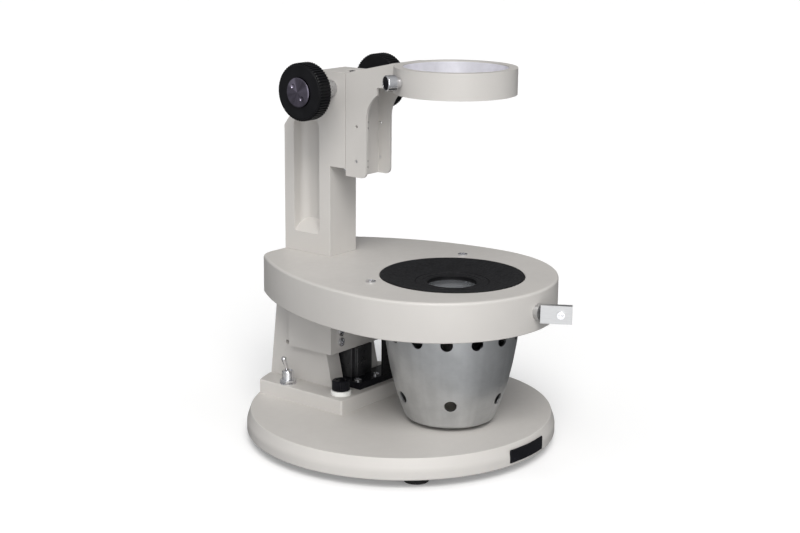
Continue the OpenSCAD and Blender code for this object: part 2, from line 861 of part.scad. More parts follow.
module clamp_screw() {
    outer = ring_bore / 2 + ring_wall;
    color("silver") at_clamp(ring_bore / 2 + 2.2) cylinder(d = 5.9, h = ring_wall);
    color("silver") at_clamp(outer + gap) cylinder(d = 9, h = 3.2);
    color("silver") at_clamp(outer + gap + 3) difference() {
        cylinder(d = 12.4, h = 10);
        translate([0, 0, 6]) cylinder(d = 6, h = 5, $fn = 6);
    }
}

module clamp_tip() {
    color("goldenrod") at_clamp(ring_bore / 2 + 0.2) cylinder(d = 5.9, h = 1.9);
}

base_disc();
rubber_feet();
foot_screws();
badge_plate();
bottom_cover();
pedestal();
pedestal_screws();
cord_bush();
left_cheek();
right_cheek();
cheek_screws();
tilt_shaft();
shaft_caps();
power_plate();
power_screws();
transformer_core();
transformer_coil();
rectifier_box();
switch_body();
switch_nut();
switch_lever();
fuse_body();
fuse_ring();
fuse_cap();
stage_plate();
tilt_bracket();
bracket_screws();
stop_screws();
stage_screws();
stage_insert();
glass_retainer();
glass_disc();
lamp_bowl();
bowl_screws();
reflector();
lamp_socket();
lamp_bulb();
front_boss();
front_lug();
lug_screw();
column();
column_screws();
shaft_sleeves();
focus_shaft();
focus_pinion();
left_knob();
right_knob();
knob_caps();
focus_arm();
dovetail_rail();
rack();
rail_screws();
arm_plugs();
clamp_screw();
clamp_tip();
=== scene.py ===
"""Looks of an inclinable microscope stand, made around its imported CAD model.

Lengths are millimetres until a mesh is written, which is in metres. -Y is the stand's front.
"""
import json
from math import atan2, cos, pi, radians, sin

import bmesh
import bpy
import numpy as np
from mathutils import Matrix, Vector

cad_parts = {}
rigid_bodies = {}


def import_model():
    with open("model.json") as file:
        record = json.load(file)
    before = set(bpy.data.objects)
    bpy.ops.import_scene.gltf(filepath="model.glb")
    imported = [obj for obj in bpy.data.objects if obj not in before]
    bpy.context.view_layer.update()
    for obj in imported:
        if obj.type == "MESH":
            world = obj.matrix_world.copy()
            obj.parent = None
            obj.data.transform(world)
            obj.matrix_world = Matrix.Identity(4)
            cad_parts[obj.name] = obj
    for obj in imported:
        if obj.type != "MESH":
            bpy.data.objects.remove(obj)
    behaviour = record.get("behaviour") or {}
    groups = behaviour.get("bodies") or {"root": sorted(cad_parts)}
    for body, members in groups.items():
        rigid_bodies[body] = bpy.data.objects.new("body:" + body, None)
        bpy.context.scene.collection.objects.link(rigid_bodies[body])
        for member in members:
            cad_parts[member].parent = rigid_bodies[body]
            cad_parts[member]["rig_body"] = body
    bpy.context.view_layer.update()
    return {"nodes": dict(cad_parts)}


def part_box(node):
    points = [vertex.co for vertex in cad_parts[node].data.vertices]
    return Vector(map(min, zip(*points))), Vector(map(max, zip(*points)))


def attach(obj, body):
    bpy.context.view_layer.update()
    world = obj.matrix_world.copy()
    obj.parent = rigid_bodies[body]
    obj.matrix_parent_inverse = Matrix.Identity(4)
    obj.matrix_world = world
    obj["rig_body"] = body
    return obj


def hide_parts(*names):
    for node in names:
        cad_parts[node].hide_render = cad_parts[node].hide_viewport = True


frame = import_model()
nodes = frame["nodes"]

MM = 0.001
TAU = 2 * pi


def corners(node):
    """A node's lowest and highest corner, in millimetres."""
    low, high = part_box(node)
    return np.array(low) / MM, np.array(high) / MM


def middle(node):
    low, high = corners(node)
    return (low + high) / 2


# ---------- places read from the frame ----------

disc_low, disc_high = corners("base_disc")
disc_r = min(-disc_low[0], disc_high[0])
disc_y = middle("base_disc")[1]
ped_low, ped_high = corners("pedestal")
stage_low, stage_high = corners("stage_plate")
insert_low, insert_high = corners("stage_insert")
optic_y = middle("stage_insert")[1]
bowl_low, bowl_high = corners("lamp_bowl")
arm_high = corners("focus_arm")[1]
knob_low, knob_high = corners("right_knob")
shaft_at = middle("right_knob")
ring_h = 21.0
ring_bore = 42.0
ring_top = arm_high[2]
CLAMP_TURN = 155  # degrees anticlockwise from +X, seen from above
BADGE_HALF_WIDTH = 22.5
BADGE_HALF_HEIGHT = 5.5
STAGE_CENTRE_BACK = 35.0  # from the disc's centre forwards to the stage's front circle
STAGE_SIDE_R = 236.0
STAGE_CORNER_R = 20.0
STAGE_TOP_THICK = 5.0
STAGE_WALL = 4.0
PEDESTAL_MARGIN = 4.5  # from the disc's edge in to the pedestal's round sides
STOP_SCREW_X = 27
STOP_SCREW_Z = (79.0, 88.0)
PLATE_SCREWS = ((-16, 34.5), (6.5, 33.5), (-9, 96), (9, 96))  # y from the disc's centre
STAGE_SCREW_X = 61.5
STAGE_SCREW_FRONT = 17.0  # from the disc's centre forwards
UPPER_HOLES = (14, 161.5, 104.0, 0.0)  # how many, first turn, height, lean in degrees
LOWER_HOLES = (6, 37.0, 50.5, 18.0)
HOLE_R = 5


# ---------- camera, light and floor ----------


def add_camera():
    """Camera from its right, up and forward directions."""
    right = Vector((0.6238, -0.7816, 0.0087)).normalized()
    forward = Vector((0.7603, 0.6041, -0.2385)).normalized()
    up = right.cross(forward)
    turn = Matrix((right, up, -forward)).transposed().to_4x4()
    data = bpy.data.cameras.new("camera")
    data.lens = 70.43
    data.sensor_width = 36.0
    data.clip_end = 20.0
    camera = bpy.data.objects.new("camera", data)
    camera.matrix_world = Matrix.Translation(Vector((-0.9899, -0.7692, 0.4567))) @ turn
    bpy.context.scene.collection.objects.link(camera)
    bpy.context.scene.camera = camera


def add_light(name, place, aim, size, watts):
    """Rectangular lamp at place, facing aim."""
    data = bpy.data.lights.new(name, "AREA")
    data.shape = "RECTANGLE"
    data.size, data.size_y = size
    data.energy = watts
    lamp = bpy.data.objects.new(name, data)
    lamp.location = place
    lamp.rotation_euler = (Vector(aim) - Vector(place)).to_track_quat("-Z", "Y").to_euler()
    bpy.context.scene.collection.objects.link(lamp)


def add_sun(name, travel, strength, spread, tint):
    """Parallel light travelling along a direction; spread is its disc's angle in degrees."""
    data = bpy.data.lights.new(name, "SUN")
    data.energy = strength
    data.angle = radians(spread)
    data.color = tint
    sun = bpy.data.objects.new(name, data)
    sun.rotation_euler = Vector(travel).to_track_quat("-Z", "Y").to_euler()
    bpy.context.scene.collection.objects.link(sun)


def add_studio():
    """Sky that is bright to the left, in front and above, a soft key light, and a pale floor."""
    world = bpy.data.worlds.new("studio")
    world.use_nodes = True
    tree = world.node_tree
    coords = tree.nodes.new("ShaderNodeTexCoord")
    facing = tree.nodes.new("ShaderNodeVectorMath")
    facing.operation = "DOT_PRODUCT"
    facing.inputs[1].default_value = Vector((-0.72, -0.42, 0.55)).normalized()
    level = tree.nodes.new("ShaderNodeMapRange")
    level.inputs["From Min"].default_value = -0.9
    level.inputs["From Max"].default_value = 0.9
    level.inputs["To Min"].default_value = 0.07
    level.inputs["To Max"].default_value = 0.62
    background = tree.nodes["Background"]
    background.inputs["Color"].default_value = (0.97, 0.98, 1.0, 1.0)
    tree.links.new(coords.outputs["Generated"], facing.inputs[0])
    tree.links.new(facing.outputs["Value"], level.inputs["Value"])
    tree.links.new(level.outputs["Result"], background.inputs["Strength"])
    bpy.context.scene.world = world
    bpy.context.scene.view_settings.view_transform = "Standard"
    add_sun("key", (0.52, 0.46, -0.72), 2.2, 32, (1.0, 0.985, 0.965))
    add_sun("fill", (0.70, 0.62, -0.04), 0.72, 60, (0.98, 0.99, 1.0))
    add_light("strip", (-1.3, -1.5, 0.55), (0, 0, 0.2), (0.25, 1.1), 1.5)
    reach, tall = 12.0, 9.0
    square = [(-reach, -reach), (reach, -reach), (reach, reach), (-reach, reach)]
    low = [(x, y, 0) for x, y in square]
    high = [(x, y, tall) for x, y in square]
    add_sheet("floor", low, [(0, 1, 2, 3)], paper_finish("floor_paper", 0.12))
    walls = [(i, i + 4, (i + 1) % 4 + 4, (i + 1) % 4) for i in range(4)]
    add_sheet("backdrop", low + high, walls, paper_finish("backdrop_paper", 1.0))


def add_sheet(name, points, faces, material):
    """Floor or backdrop: it takes shadows but lights, mirrors and shades nothing."""
    mesh = bpy.data.meshes.new(name)
    mesh.from_pydata(points, [], faces)
    mesh.materials.append(material)
    sheet = bpy.data.objects.new(name, mesh)
    bpy.context.scene.collection.objects.link(sheet)
    sheet.visible_diffuse = False
    sheet.visible_glossy = False
    sheet.visible_shadow = False


# ---------- finishes ----------


class Finish:
    """A Principled shader with Object coordinates in millimetre-sized patterns."""

    def __init__(self, name, colour, roughness, metallic=0.0, **sockets):
        self.material = bpy.data.materials.new(name)
        self.material.use_nodes = True
        self.tree = self.material.node_tree
        self.shader = self.tree.nodes["Principled BSDF"]
        self.coords = self.add("ShaderNodeTexCoord").outputs["Object"]
        self.shader.inputs["Base Color"].default_value = (*colour, 1.0)
        self.shader.inputs["Roughness"].default_value = roughness
        self.shader.inputs["Metallic"].default_value = metallic
        for socket, value in sockets.items():
            self.shader.inputs[socket.replace("_", " ")].default_value = value

    def add(self, kind):
        return self.tree.nodes.new(kind)

    def link(self, a, b):
        self.tree.links.new(a, b)

    def place(self, centre=(0, 0, 0), turn=(0, 0, 0), scale=(1, 1, 1)):
        """Object coordinates moved so that centre (mm) is the origin, then turned and scaled."""
        shift = self.add("ShaderNodeMapping")
        shift.inputs["Location"].default_value = [-c * MM for c in centre]
        self.link(self.coords, shift.inputs["Vector"])
        spin = self.add("ShaderNodeMapping")
        spin.inputs["Rotation"].default_value = turn
        spin.inputs["Scale"].default_value = scale
        self.link(shift.outputs["Vector"], spin.inputs["Vector"])
        return spin.outputs["Vector"]

    def noise(self, vector, size, detail=3.0):
        """Noise whose blotches are about size millimetres across."""
        node = self.add("ShaderNodeTexNoise")
        node.inputs["Scale"].default_value = 1 / (size * MM)
        node.inputs["Detail"].default_value = detail
        node.inputs["Roughness"].default_value = 0.55
        self.link(vector, node.inputs["Vector"])
        return node.outputs["Fac"]

    def waves(self, vector, pitch, kind="RINGS", direction="Z"):
        """Even rings or bands, pitch millimetres apart."""
        node = self.add("ShaderNodeTexWave")
        node.wave_type = kind
        if kind == "RINGS":
            node.rings_direction = direction
        else:
            node.bands_direction = direction
        node.inputs["Scale"].default_value = TAU / 20 / (pitch * MM)
        node.inputs["Detail"].default_value = 1.0
        self.link(vector, node.inputs["Vector"])
        return node.outputs["Fac"]

    def angle(self, vector):
        """Share of a full turn about the vector's Z axis."""
        node = self.add("ShaderNodeTexGradient")
        node.gradient_type = "RADIAL"
        self.link(vector, node.inputs["Vector"])
        return node.outputs["Fac"]

    def ramp(self, factor, stops):
        """Colours along a factor; each stop is a position and a grey or a colour."""
        node = self.add("ShaderNodeValToRGB")
        band = node.color_ramp
        while len(band.elements) < len(stops):
            band.elements.new(0.5)
        for element, (at, colour) in zip(band.elements, stops):
            colour = (colour,) * 3 if isinstance(colour, float) else colour
            element.position = at
            element.color = (*colour, 1.0)
        self.link(factor, node.inputs["Fac"])
        return node.outputs["Color"]

    def spread(self, factor, low, high):
        """The middle of a noise's range mapped to low and high."""
        node = self.add("ShaderNodeMapRange")
        node.inputs["From Min"].default_value = 0.3
        node.inputs["From Max"].default_value = 0.7
        node.inputs["To Min"].default_value = low
        node.inputs["To Max"].default_value = high
        self.link(factor, node.inputs["Value"])
        return node.outputs["Result"]

    def product(self, a, b):
        """Two colours multiplied."""
        node = self.add("ShaderNodeMix")
        node.data_type = "RGBA"
        node.blend_type = "MULTIPLY"
        node.inputs["Factor"].default_value = 1.0
        self.link(a, node.inputs[6])
        self.link(b, node.inputs[7])
        return node.outputs[2]

    def colour(self, output):
        self.link(output, self.shader.inputs["Base Color"])
        return self

    def roughness(self, output):
        self.link(output, self.shader.inputs["Roughness"])
        return self

    def bump(self, height, strength, distance):
        """Bumps distance millimetres high; a second call adds to the first."""
        node = self.add("ShaderNodeBump")
        node.inputs["Strength"].default_value = strength
        node.inputs["Distance"].default_value = distance * MM
        self.link(height, node.inputs["Height"])
        normal = self.shader.inputs["Normal"]
        if normal.is_linked:
            self.link(normal.links[0].from_socket, node.inputs["Normal"])
        self.link(node.outputs["Normal"], normal)
        return self


def tinted(colour, share):
    return tuple(c * share for c in colour)


def paper_finish(name, glow):
    f = Finish(name, (0.9, 0.9, 0.9), 0.95, Specular_IOR_Level=0.1, Emission_Strength=glow)
    f.shader.inputs["Emission Color"].default_value = (1.0, 1.0, 1.0, 1.0)
    f.colour(f.ramp(f.noise(f.place(), 300), [(0.3, 0.93), (0.7, 0.95)]))
    return f.material


def paint_finish(name, colour, gloss=0.46):
    """Sprayed enamel: faint clouding, orange peel and uneven gloss."""
    f = Finish(name, colour, gloss, Coat_Weight=0.10, Coat_Roughness=0.2, Specular_IOR_Level=0.4)
    cloud = f.noise(f.place(), 45, 4)
    f.colour(f.ramp(cloud, [(0.3, tinted(colour, 0.97)), (0.7, tinted(colour, 1.02))]))
    f.roughness(f.spread(f.noise(f.place(), 6), gloss - 0.05, gloss + 0.07))
    f.bump(f.noise(f.place(), 1.6, 2), 0.10, 0.12)
    return f.material


def black_finish(name, colour, gloss, grain=0.35, bump=0.15):
    """Moulded or anodised black: fine grain, a little dusty variation."""
    f = Finish(name, colour, gloss, Specular_IOR_Level=0.14)
    f.colour(f.ramp(f.noise(f.place(), 9, 4), [(0.3, tinted(colour, 0.8)), (0.72, tinted(colour, 1.35))]))
    f.roughness(f.spread(f.noise(f.place(), 2.5), gloss - 0.06, gloss + 0.10))
    f.bump(f.noise(f.place(), grain, 2), bump, 0.05)
    return f.material


def turned_finish(name, colour, roughness, centre, turn=(0, 0, 0), pitch=0.35, painted_sheen=0.12,
                  painted_highlight=(), metallic=1.0):
    """Metal turned on a lathe: fine concentric grooves and soft light and dark sectors, a painted
    reflection.

    A ramp of stops over the full turn, if given, lightens some sectors more: a painted highlight.
    """
    f = Finish(name, colour, roughness, metallic)
    here = f.place(centre, turn)
    sector = f.angle(here)
    # Painted reflection: noise over the turn paints lighter and darker sectors into the colour.
    sheen_noise = f.add("ShaderNodeTexNoise")
    sheen_noise.noise_dimensions = "1D"
    sheen_noise.inputs["Scale"].default_value = 9.0
    sheen_noise.inputs["Detail"].default_value = 2.0
    f.link(sector, sheen_noise.inputs["W"])
    light = f.ramp(sheen_noise.outputs["Fac"], [(0.3, 1.0 - painted_sheen), (0.7, 1.0)])
    cloud = f.ramp(f.noise(f.place(), 5), [(0.3, tinted(colour, 0.94)), (0.7, colour)])
    surface = f.product(light, cloud)
    # Painted highlight: the optional ramp over the turn lightens some sectors and darkens others.
    if painted_highlight:
        surface = f.product(surface, f.ramp(sector, painted_highlight))
    f.colour(surface)
    f.roughness(f.spread(f.noise(f.place(), 3), roughness - 0.05, roughness + 0.06))
    f.bump(f.waves(here, pitch), 0.25, 0.03)
    return f.material


def spun_finish():
    """Spun and brushed bowl: rings round the axis, soft vertical stripes of painted reflection and small
    clouding.
    """
    colour = (0.60, 0.61, 0.615)
    f = Finish("spun_aluminium", colour, 0.42, 1.0, Anisotropic=0.3)
    axis = (0, optic_y, 0)
    # Painted reflection: vertical stripes, lighter and darker by angle round the axis, painted into the
    # colour.
    bands = f.add("ShaderNodeTexNoise")
    bands.noise_dimensions = "1D"
    bands.inputs["Scale"].default_value = 11.0
    bands.inputs["Detail"].default_value = 3.0
    f.link(f.angle(f.place(axis)), bands.inputs["W"])
    painted_reflection_bands = f.ramp(bands.outputs["Fac"], [(0.32, 0.80), (0.68, 1.0)])
    cloud = f.ramp(f.noise(f.place(), 14, 4), [(0.3, tinted(colour, 0.93)), (0.7, tinted(colour, 1.08))])
    f.colour(f.product(painted_reflection_bands, cloud))
    strokes = f.noise(f.place(axis, (0, 0, 0), (0.05, 0.05, 1)), 0.35, 2)
    f.roughness(f.spread(strokes, 0.34, 0.50))
    f.bump(strokes, 0.22, 0.05)
    return f.material


def plated_finish(name, colour, roughness):
    """Bright plating: nearly a mirror, with small wavy unevenness and smears."""
    f = Finish(name, colour, roughness, 1.0)
    f.colour(f.ramp(f.noise(f.place(), 4), [(0.3, tinted(colour, 0.92)), (0.7, colour)]))
    f.roughness(f.spread(f.noise(f.place(), 1.8, 4), roughness * 0.7, roughness * 1.6))
    f.bump(f.noise(f.place(), 2.2, 2), 0.08, 0.04)
    return f.material


def milled_finish(name, colour, roughness, stretch):
    """Bare metal brushed or milled along one direction."""
    f = Finish(name, colour, roughness, 1.0)
    lines = f.noise(f.place(scale=stretch), 0.35, 3)
    f.colour(f.ramp(lines, [(0.3, tinted(colour, 0.86)), (0.7, colour)]))
    f.roughness(f.spread(lines, roughness - 0.07, roughness + 0.10))
    f.bump(lines, 0.2, 0.03)
    return f.material


def laminated_finish():
    """Varnished black sheets stacked along X."""
    colour = (0.012, 0.012, 0.013)
    f = Finish("core_varnish", colour, 0.32)
    sheets = f.waves(f.place(), 0.7, "BANDS", "X")
    f.colour(f.ramp(f.noise(f.place(), 5, 4), [(0.3, tinted(colour, 0.7)), (0.7, tinted(colour, 1.8))]))
    f.roughness(f.spread(f.noise(f.place(), 3), 0.25, 0.42))
    f.bump(sheets, 0.35, 0.08)
    return f.material


def glass_finish(name, colour, roughness):
    f = Finish(name, colour, roughness, Transmission_Weight=0.85, IOR=1.5)
    f.colour(f.ramp(f.noise(f.place(), 12), [(0.3, tinted(colour, 0.93)), (0.7, colour)]))
    f.roughness(f.spread(f.noise(f.place(), 1.5), roughness * 0.8, roughness * 1.3))
    return f.material


def ceramic_finish():
    colour = (0.78, 0.74, 0.64)
    f = Finish("ceramic", colour, 0.35)
    f.colour(f.ramp(f.noise(f.place(), 3, 4), [(0.3, tinted(colour, 0.93)), (0.7, colour)]))
    f.bump(f.noise(f.place(), 0.8), 0.1, 0.05)
    return f.material


paint = paint_finish("stand_enamel", (0.555, 0.535, 0.51))
black_matte = black_finish("black_anodised", (0.009, 0.009, 0.010), 0.42, 0.25, 0.10)
black_knob = black_finish("knob_plastic", (0.006, 0.006, 0.007), 0.36, 0.4, 0.12)
black_gloss = black_finish("black_gloss", (0.006, 0.006, 0.008), 0.18, 0.8, 0.05)
core_black = laminated_finish()
rubber = black_finish("foot_rubber", (0.02, 0.02, 0.02), 0.75, 0.5, 0.3)
spun = spun_finish()
chrome = plated_finish("chrome", (0.78, 0.78, 0.80), 0.12)
steel = plated_finish("screw_steel", (0.55, 0.55, 0.56), 0.24)
mirror = plated_finish("reflector_mirror", (0.80, 0.80, 0.86), 0.08)
bare = milled_finish("bare_aluminium", (0.66, 0.66, 0.66), 0.36, (0.06, 0.06, 1))
brass = milled_finish("brass", (0.66, 0.46, 0.20), 0.3, (1, 1, 0.06))
# turned_finish paints lighter and darker sectors into the colour, a painted reflection, on the ring, caps
# and sleeves.
ring_bare = turned_finish("turned_ring", (0.88, 0.87, 0.93), 0.34,
                          (0, optic_y, 0), pitch=0.8, painted_sheen=0.12, metallic=0.45)
# Painted highlight on the caps: one bright sector and darker sectors round the turn.
cap_painted_highlight = [(0.0, 0.42), (0.12, 0.34), (0.30, 0.62), (0.36, 0.36), (0.52, 0.40), (0.56, 1.0),
             (0.64, 1.0), (0.68, 0.44), (0.85, 0.34), (1.0, 0.42)]
cap_metal = turned_finish("turned_cap", (0.40, 0.36, 0.46), 0.22,
                          shaft_at, (0, pi / 2, 0), pitch=0.45, painted_sheen=0.35, painted_highlight=cap_painted_highlight)
sleeve_metal = turned_finish("turned_sleeve", (0.62, 0.62, 0.63), 0.30,
                             shaft_at, (0, pi / 2, 0), pitch=0.8, painted_sheen=0.1)
white_plastic = paint_finish("white_plastic", (0.86, 0.86, 0.83), 0.3)
ceramic = ceramic_finish()
glass = glass_finish("stage_glass", (0.50, 0.52, 0.54), 0.18)
bulb_glass = glass_finish("bulb_glass", (0.9, 0.9, 0.88), 0.05)


# ---------- meshes ----------


def grid_faces(rows, cols, closed=True):
    """Quads between neighbouring rows and columns; closed joins the last column to the first."""
    r = np.arange(rows - 1)[:, None]
    c = np.arange(cols if closed else cols - 1)[None, :]
    n = (c + 1) % cols
    quads = np.stack([r * cols + c, r * cols + n, (r + 1) * cols + n, (r + 1) * cols + c], -1)
    return quads.reshape(-1, 4)


def build(name, parts, body, material, stands_for=(), crease=35):
    """Piece from one or more (points, faces) pairs, riding on its body.

    Doubled points are merged, normals made to point outwards, and edges sharper than crease
    degrees kept sharp.
    """
    points, faces, offset = [], [], 0
    for part_points, part_faces in parts:
        points.append(np.asarray(part_points, float).reshape(-1, 3))
        faces += [tuple(int(i) + offset for i in face) for face in part_faces]
        offset += len(points[-1])
    mesh = bpy.data.meshes.new(name)
    mesh.from_pydata((np.concatenate(points) * MM).tolist(), [], faces)
    finish_mesh(mesh, crease)
    return show(name, mesh, body, material, stands_for)


def finish_mesh(mesh, crease):
    """Merges doubled points, turns faces outwards and keeps edges sharper than crease."""
    work = bmesh.new()
    work.from_mesh(mesh)
    bmesh.ops.remove_doubles(work, verts=work.verts, dist=2e-6)
    bmesh.ops.dissolve_degenerate(work, edges=work.edges, dist=1e-7)
    bmesh.ops.recalc_face_normals(work, faces=work.faces)
    work.to_mesh(mesh)
    work.free()
    mesh.polygons.foreach_set("use_smooth", np.ones(len(mesh.polygons), bool))
    mesh.set_sharp_from_angle(angle=radians(crease))


def show(name, mesh, body, material, stands_for, bevel=0.0):
    """Object for a mesh on its body; bevel is the width of an edge rounding in millimetres."""
    piece = bpy.data.objects.new(name, mesh)
    bpy.context.scene.collection.objects.link(piece)
    piece.data.materials.clear()
    piece.data.materials.append(material)
    if bevel:
        edge = piece.modifiers.new("edge", "BEVEL")
        edge.width = bevel * MM
        edge.segments = 3
        edge.limit_method = "ANGLE"
        edge.angle_limit = radians(38)
        edge.harden_normals = True
    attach(piece, body)
    if stands_for:
        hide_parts(*stands_for)
    return piece


def softened(node, material, bevel):
    """The CAD node's own shape with its triangles joined into flat faces and edges rounded."""
    mesh = nodes[node].data.copy()
    mesh.name = node + "_soft"
    work = bmesh.new()
    work.from_mesh(mesh)
    bmesh.ops.remove_doubles(work, verts=work.verts, dist=2e-6)
    bmesh.ops.dissolve_limit(work, angle_limit=radians(0.6), verts=work.verts, edges=work.edges)
    work.to_mesh(mesh)
    work.free()
    finish_mesh(mesh, 35)
    body = nodes[node]["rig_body"]
    return show(node + "_soft", mesh, body, material, (node,), bevel)


def rounded(points, radii, steps=8):
    """Open or closed path with each corner replaced by an arc; a radius of 0 keeps the corner."""
    points = [np.asarray(p, float) for p in points]
    path = []
    for i, (p, r) in enumerate(zip(points, radii)):
        if not r:
            path.append(p)
            continue
        a = points[i - 1] - p
        b = points[(i + 1) % len(points)] - p
        a /= np.linalg.norm(a)
        b /= np.linalg.norm(b)
        half = np.arccos(np.clip(a @ b, -1, 1)) / 2
        bisector = (a + b) / np.linalg.norm(a + b)
        centre = p + bisector * r / sin(half)
        start, end = p + a * r / np.tan(half), p + b * r / np.tan(half)
        t = np.linspace(0, 1, steps)[:, None]
        chord = start * (1 - t) + end * t - centre
        path += list(centre + chord / np.linalg.norm(chord, axis=1, keepdims=True) * r)
    return np.array(path)


def turned(profile, at=(0, 0, 0), axis=(0, 0, 1), segments=160, ripple=None):
    """Profile of (radius, height) pairs swept round an axis through at.

    ripple(angle, radius, height) gives a change of radius, such as knurling.
    """
    profile = np.asarray(profile, float)
    turn = np.arange(segments) / segments * TAU
    radius = profile[:, 0][:, None] + 0 * turn[None, :]
    height = profile[:, 1][:, None] + 0 * turn[None, :]
    if ripple is not None:
        radius = radius + ripple(turn[None, :], radius, height)
    local = np.stack([radius * np.cos(turn), radius * np.sin(turn), height], -1).reshape(-1, 3)
    return aimed(local, at, axis), grid_faces(len(profile), segments)


def aimed(local, at, axis, spin=0.0):
    """Points whose Z axis is turned to axis, after a spin about it, and moved to at."""
    turn = Vector((0, 0, 1)).rotation_difference(Vector(axis)).to_matrix()
    turn = np.array(turn @ Matrix.Rotation(spin, 3, "Z"))
    return local @ turn.T + np.asarray(at, float)


def slab(outline, levels):
    """Outline (x, y) carried through levels of (z, inset), closed at both ends.

    Each ring is the outline moved in along its normal.
    """
    outline = np.asarray(outline, float)
    along = np.roll(outline, -1, 0) - np.roll(outline, 1, 0)
    normal = np.stack([along[:, 1], -along[:, 0]], -1)
    normal /= np.linalg.norm(normal, axis=1, keepdims=True)
    rings = [np.column_stack([outline - normal * inset, np.full(len(outline), z)])
             for z, inset in levels]
    faces = [tuple(f) for f in grid_faces(len(levels), len(outline))]
    count = len(outline)
    faces.append(tuple(range(count)))
    faces.append(tuple(range((len(levels) - 1) * count, len(levels) * count)))
    return np.concatenate(rings), faces


def edge_levels(low, high, low_r, high_r, steps=6):
    """Levels of a slab with rounded lower and upper edges."""
    t = np.linspace(0, pi / 2, steps)
    below = [(low + low_r * (1 - cos(a)), low_r * (1 - sin(a))) for a in t] if low_r else [(low, 0)]
    above = [(high - high_r * (1 - sin(a)), high_r * (1 - cos(a))) for a in t] if high_r else [(high, 0)]
    return below + above


def block(low, high):
    """Closed box between two corners."""
    x, y, z = [np.array([a, b]) for a, b in zip(low, high)]
    points = [(a, b, c) for c in z for b in y for a in x]
    faces = [(0, 2, 3, 1), (4, 5, 7, 6), (0, 1, 5, 4), (1, 3, 7, 5), (3, 2, 6, 7), (2, 0, 4, 6)]
    return points, faces


def screw_head(d, h, at, axis, spin=0.0):
    """Domed head: height falls with the square of the radius, and a cross is pressed into it."""
    dome, depth = 0.45, 0.75
    rows, segments = 26, 120
    radius = np.linspace(1, 0, rows)[:, None] * d / 2
    turn = np.arange(segments)[None, :] / segments * TAU
    x, y = radius * np.cos(turn), radius * np.sin(turn)
    top = h * (1 - dome * (2 * radius / d) ** 2) + 0 * turn
    slot_half = 0.075 * d
    length_half = 0.34 * d
    cut = np.zeros_like(x)
    for arm in range(2):
        u = x * cos(arm * pi / 2) + y * sin(arm * pi / 2)
        v = -x * sin(arm * pi / 2) + y * cos(arm * pi / 2)
        inside = np.clip((slot_half - abs(v)) / (0.02 * d), 0, 1)
        inside *= np.clip((length_half - abs(u)) / (0.03 * d), 0, 1)
        cut = np.maximum(cut, inside)
    top = top - cut * depth * h
    cap = np.stack([x, y, top], -1).reshape(-1, 3)
    wall = np.stack([x[0], y[0], 0 * x[0]], -1)
    lip = np.stack([x[0] * 0, y[0] * 0, 0 * x[0]], -1)
    points = np.concatenate([lip, wall, cap])
    return aimed(points, at, axis, spin), grid_faces(rows + 2, segments)


# ---------- base ----------


def base_pieces():
    """Disc turned from a rounded profile, pedestal slab, and badge wrapped round the rim.

    The badge is a grid of angle and height whose radius rises by a step just inside its edge.
    """
    z0, z1 = disc_low[2], disc_high[2]
    r = disc_r
    shoulder = z0 + 8.5
    profile = rounded(
        [(0, z0 + 0.4), (r - 10, z0 + 0.4), (r - 10, z0), (r, z0), (r, shoulder),
         (r - 3.2, z1), (0, z1)],
        [0, 0, 0, 1.2, 14, 0.9, 0], 10)
    build("base_casting", [turned(profile, (0, disc_y, 0), segments=256)],
          "base", paint, ("base_disc",), 28)

    w = ped_high[0]
    cut = disc_r - PEDESTAL_MARGIN
    front, back = ped_low[1], ped_high[1]
    corner_y = disc_y + np.sqrt(cut**2 - w**2)
    corner_x = np.sqrt(cut**2 - (back - disc_y) ** 2)
    a0 = atan2(corner_y - disc_y, w)
    a1 = atan2(back - disc_y, corner_x)
    t = np.linspace(a0, a1, 14)
    right = np.stack([cut * np.cos(t), disc_y + cut * np.sin(t)], -1)
    left = right[::-1] * (-1, 1)
    outline = np.concatenate([rounded([(-w, back), (-w, front), (w, front), (w, back)],
                                      [0, 1.6, 1.6, 0])[1:-1], right, left])
    build("pedestal_casting", [slab(outline, edge_levels(ped_low[2], ped_high[2], 0, 1.2))],
          "base", paint, ("pedestal",), 40)

    low, high = corners("badge_plate")
    rows, cols = 24, 72
    half_turn = BADGE_HALF_WIDTH / disc_r
    v, u = np.meshgrid(np.linspace(-1, 1, rows), np.linspace(-1, 1, cols), indexing="ij")
    rim = 1.0
    inset = np.minimum((1 - abs(u)) * BADGE_HALF_WIDTH, (1 - abs(v)) * BADGE_HALF_HEIGHT)
    lift = np.where(inset < rim, 0.85, 0.6) * np.clip(inset / 0.25, 0, 1)
    radius = disc_r + 0.02 + lift
    angle = -pi / 2 + u * half_turn
    face = np.stack([radius * np.cos(angle), disc_y + radius * np.sin(angle),
                     (low[2] + high[2]) / 2 + v * BADGE_HALF_HEIGHT], -1).reshape(-1, 3)
    back_r = disc_r - 0.4
    behind = np.stack([back_r * np.cos(angle), disc_y + back_r * np.sin(angle),
                       (low[2] + high[2]) / 2 + v * BADGE_HALF_HEIGHT], -1).reshape(-1, 3)
    sheet = grid_faces(rows, cols, False)
    edge = np.concatenate([np.arange(cols), np.arange(1, rows) * cols + cols - 1,
                           (rows - 1) * cols + np.arange(cols - 2, -1, -1),
                           np.arange(rows - 2, 0, -1) * cols])
    nxt = np.roll(edge, -1)
    count = rows * cols
    side = np.stack([edge, nxt, nxt + count, edge + count], -1)
    faces = np.concatenate([sheet, sheet[:, ::-1] + count, side])
    build("badge", [(np.concatenate([face, behind]), faces)], "base",
          black_gloss, ("badge_plate",), 30)


# ---------- stage ----------


